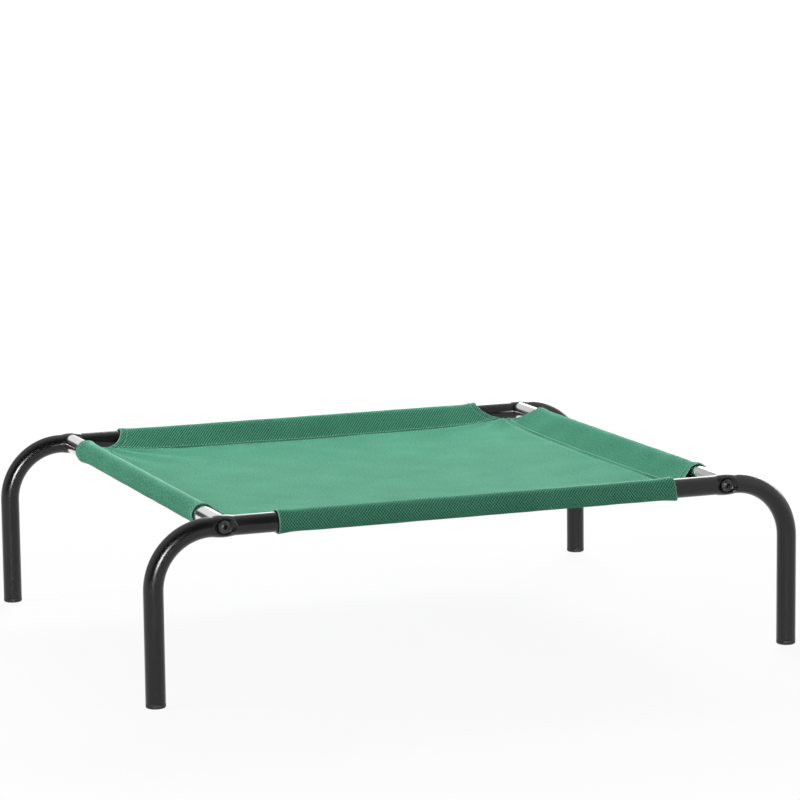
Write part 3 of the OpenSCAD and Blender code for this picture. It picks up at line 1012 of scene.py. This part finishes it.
def make_stitches(name, runs, material):
    """runs are lists of (point, normal) along each row of stitches."""
    template, template_faces = stitch_template()
    points, faces = [], []
    for run in runs:
        places = np.array([place for place, _ in run])
        normals = np.array([normal for _, normal in run])
        travel = lengths_along(places)
        last = travel[-1] - ROOM_AFTER * STITCH_PITCH
        for stop in np.arange(ROOM_BEFORE * STITCH_PITCH, last, STITCH_PITCH):
            here = at_length(stop, travel, places)
            ahead = at_length(stop + LOOK_AHEAD, travel, places)
            up = at_length(stop, travel, normals)
            along = (ahead - here) / np.linalg.norm(ahead - here)
            up -= along * (up @ along)
            up /= np.linalg.norm(up)
            aside = np.cross(up, along)
            start = len(points)
            points.extend(here + template @ np.array((along, aside, up)))
            faces.extend(tuple(start + c for c in face) for face in template_faces)
    return new_piece(name, points, faces, material)


def cast(tree, x, y, downward):
    """Point on the upper or lower face of the sheet at a place in plan, with its outward normal."""
    start = Vector((x, y, CAST_ABOVE if downward else CAST_BELOW))
    way = Vector((0, 0, -1 if downward else 1))
    place, normal, _, _ = tree.ray_cast(start, way)
    if place is None:
        return None
    if normal.dot(way) > 0:
        normal = -normal
    return np.array(place + normal * 0.5 * SHEET_T), np.array(normal)


def seam_runs(tree, side):
    """Two rows of stitches along one seam, on the upper and the lower face."""
    half = (math.floor((side.reach - SEAM_END) / STITCH_PITCH) + 0.5) * STITCH_PITCH
    runs = []
    for row in SEAM_ROWS:
        out = side.sign * (side.seam - row)
        for downward in (True, False):
            places = [in_plan(side, along, out) for along in np.linspace(-half, half, RUN_POINTS)]
            found = [cast(tree, x, y, downward) for x, y in places]
            runs.append([point for point in found if point])
    return runs


def hem_run(tree, sheet, edge, corner):
    """Row of stitches that holds one turned hem, on its outer face."""
    rows = list(zip(*edge_frames(sheet, edge, corner)))
    run = []
    for point, out, normal in rows[HEM_STITCH_SKIP:-HEM_STITCH_SKIP]:
        place, facing = snap(tree, point - out * HEM_STITCH_IN, normal)
        rise = SUNK_STITCH if place[Y] < -SEAM_Y - SEAM_BLEND else 0.5 * SHEET_T
        run.append((place + facing * rise, facing))
    return run


# The cot

def finish_solids():
    finishes = {
        "frame_tube": powder_coat(),
        "cross_bar": bright_zinc(),
        "insert": dull_zinc(),
        "bolt": black_oxide(),
        "foot": foot_plastic(),
    }
    for part in frame["record"]["subparts"]:
        finish = finishes.get(part["material_slot"])
        if finish:
            slots = frame["nodes"][part["node"]].data.materials
            slots.clear()
            slots.append(finish)


def make_bed():
    fabric, thread = woven_fabric(), sewing_thread()
    sheet = Sheet()
    bed = make_sheet(sheet, fabric)
    corners = [tuple(p) for p in sheet.points]
    whole_tree = BVHTree.FromPolygons(corners, sheet.faces)
    upper_tree = BVHTree.FromPolygons(corners, sheet.upper_faces())
    for side in SIDES:
        make_stitches(f"{side.name}_seam_stitches", seam_runs(whole_tree, side), thread)
    for depth, sign_y in (("front", -1), ("rear", 1)):
        for hand, sign_x in (("left", -1), ("right", 1)):
            edge, corner = sheet.corner_edge(sign_x, sign_y), (sign_x, sign_y)
            seen = edge[HEM_SKIP:-HEM_SKIP]
            make_hem(f"{depth}_{hand}_hem", sheet, seen, corner, upper_tree, fabric)
            runs = [hem_run(whole_tree, sheet, edge, corner)]
            make_stitches(f"{depth}_{hand}_hem_stitches", runs, thread)
    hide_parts("bed_fabric")
    sheet.flat_area()


make_camera()
make_world()
make_lamps()
make_floor()
finish_solids()
make_bed()
